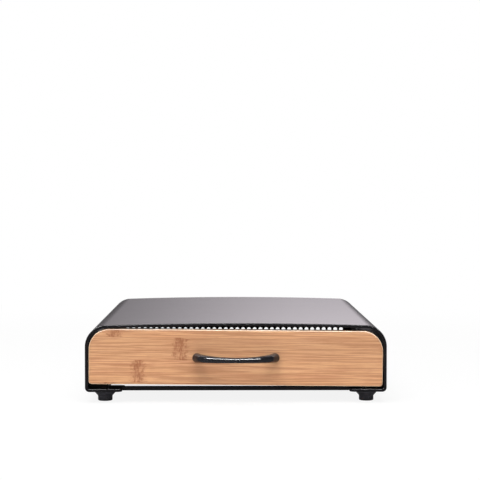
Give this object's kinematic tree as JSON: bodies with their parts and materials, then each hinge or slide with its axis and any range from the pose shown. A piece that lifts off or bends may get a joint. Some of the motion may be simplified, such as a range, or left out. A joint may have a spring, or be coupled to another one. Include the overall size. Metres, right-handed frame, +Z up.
{
  "type": "coffee pod drawer",
  "caption": "Low black steel housing on rubber feet with a sliding perforated tray, a wooden front and a black bow handle; an appliance can stand on its top.",
  "frame": {"origin": "middle of the object's footprint, handle included, on the surface that its feet stand on", "axes": "+Z up, -Y out of the front along the drawer's travel, +X to the right seen from the front"},
  "size_m": [0.28, 0.3552, 0.0742],
  "materials": {
    "powder_coat": "satin black powder coat",
    "bamboo": "lacquered laminated bamboo, grain from side to side",
    "handle_black": "gloss black paint on a cast metal bow",
    "rubber": "moulded black rubber",
    "nylon": "moulded black nylon",
    "zinc_steel": "zinc-plated steel"
  },
  "bodies": {
    "housing": {"housing_shell": "powder_coat", "front_rail": "powder_coat", "rear_rail": "powder_coat", "hold_down_left": "powder_coat", "hold_down_right": "powder_coat", "runner_left": "nylon", "runner_right": "nylon", "runner_rivets": "zinc_steel", "rear_bumper_left": "rubber", "rear_bumper_right": "rubber", "foot_front_left": "rubber", "foot_front_right": "rubber", "foot_rear_left": "rubber", "foot_rear_right": "rubber", "foot_screws": "zinc_steel", "foot_washers": "zinc_steel", "foot_nuts": "zinc_steel"},
    "drawer": {"wooden_front": "bamboo", "bow_handle": "handle_black", "handle_screws": "zinc_steel", "handle_washers": "zinc_steel", "front_screws": "zinc_steel", "tray_front_plate": "powder_coat", "tray_floor": "powder_coat", "tray_wall_left": "powder_coat", "tray_wall_right": "powder_coat", "tray_wall_rear": "powder_coat", "stop_bracket_left": "powder_coat", "stop_bracket_right": "powder_coat", "stop_rivets": "zinc_steel"}
  },
  "joints": [
    {"name": "drawer_slide", "type": "slide", "parent": "housing", "child": "drawer", "axis": [0, -1, 0], "range_m": [0, 0.25]}
  ]
}
